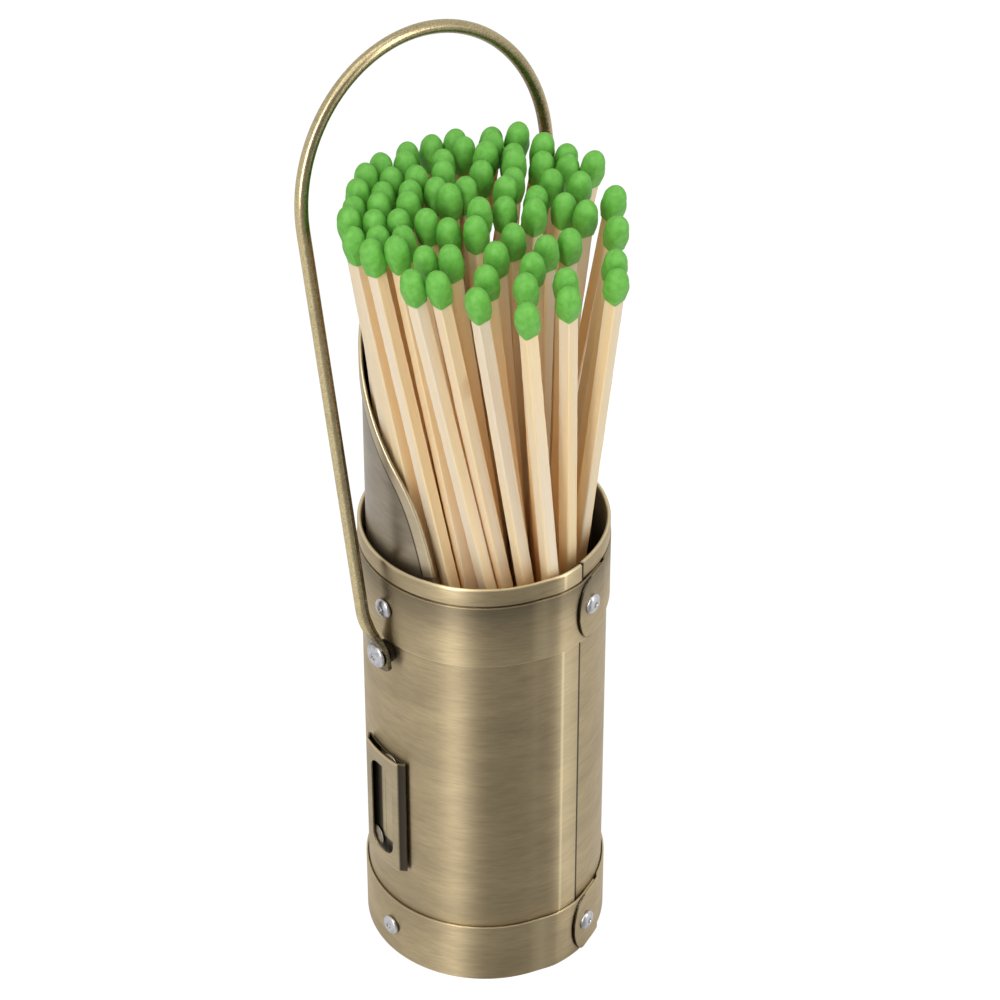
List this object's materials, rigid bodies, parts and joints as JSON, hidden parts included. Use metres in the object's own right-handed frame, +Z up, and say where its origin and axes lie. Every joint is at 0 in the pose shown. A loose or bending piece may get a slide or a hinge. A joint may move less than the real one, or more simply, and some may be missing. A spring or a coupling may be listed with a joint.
{
  "type": "match holder",
  "caption": "Riveted brass cup with a tall slanted hood, a slotted side bracket and a swinging wire bail, packed with long square matches.",
  "frame": {"origin": "centre of the base pan's underside, on the surface that the cup stands on", "axes": "+Z up along the tube; +Y towards the hood's high back, so the low front of the rim looks towards -Y; X along the bail's pivots, with the slotted bracket at -X"},
  "size_m": [0.0694, 0.0686, 0.2304],
  "materials": {
    "antique_brass": "satin antique brass, fine brushing around the tube with darker patina",
    "dark_brass": "dull brown brass outside, blackened inside",
    "aluminium": "bright rivet aluminium",
    "match_wood": "raw pale wood",
    "match_head": "matte green dipped head"
  },
  "bodies": {
    "holder": {"body_tube": "antique_brass", "collar_band": "antique_brass", "base_band": "antique_brass", "base_pan": "antique_brass", "side_bracket": "antique_brass", "hood": "dark_brass", "collar_rivet_lap": "aluminium", "collar_rivet_left": "aluminium", "collar_rivet_right": "aluminium", "collar_rivet_back": "aluminium", "base_rivet_lap": "aluminium", "base_rivet_left": "aluminium", "base_rivet_right": "aluminium", "base_rivet_back": "aluminium", "bracket_rivet_upper": "aluminium", "bracket_rivet_lower": "aluminium", "pivot_rivet_left": "aluminium", "pivot_rivet_right": "aluminium", "pivot_spacer_left": "aluminium", "pivot_spacer_right": "aluminium", "match_01": "match_wood", "match_02": "match_wood", "match_03": "match_wood", "match_04": "match_wood", "match_05": "match_wood", "match_06": "match_wood", "match_07": "match_wood", "match_08": "match_wood", "match_09": "match_wood", "match_10": "match_wood", "match_11": "match_wood", "match_12": "match_wood", "match_13": "match_wood", "match_14": "match_wood", "match_15": "match_wood", "match_16": "match_wood", "match_17": "match_wood", "match_18": "match_wood", "match_19": "match_wood", "match_20": "match_wood", "match_21": "match_wood", "match_22": "match_wood", "match_23": "match_wood", "match_24": "match_wood", "match_25": "match_wood", "match_26": "match_wood", "match_27": "match_wood", "match_28": "match_wood", "match_29": "match_wood", "match_30": "match_wood", "match_31": "match_wood", "match_32": "match_wood", "match_33": "match_wood", "match_34": "match_wood", "match_35": "match_wood", "match_36": "match_wood", "match_37": "match_wood", "match_38": "match_wood"},
    "bail": {"bail": "antique_brass"},
    "front_match": {"front_match": "match_wood"}
  },
  "joints": [
    {"name": "bail_swing", "type": "hinge", "parent": "holder", "child": "bail", "pos_m": [0, 0, 0.0924], "axis": [1, 0, 0], "range_deg": [-117, 138]},
    {"name": "match_draw", "type": "slide", "parent": "holder", "child": "front_match", "axis": [-0.1602, -0.1119, 0.9807], "range_m": [0, 0.125]}
  ]
}
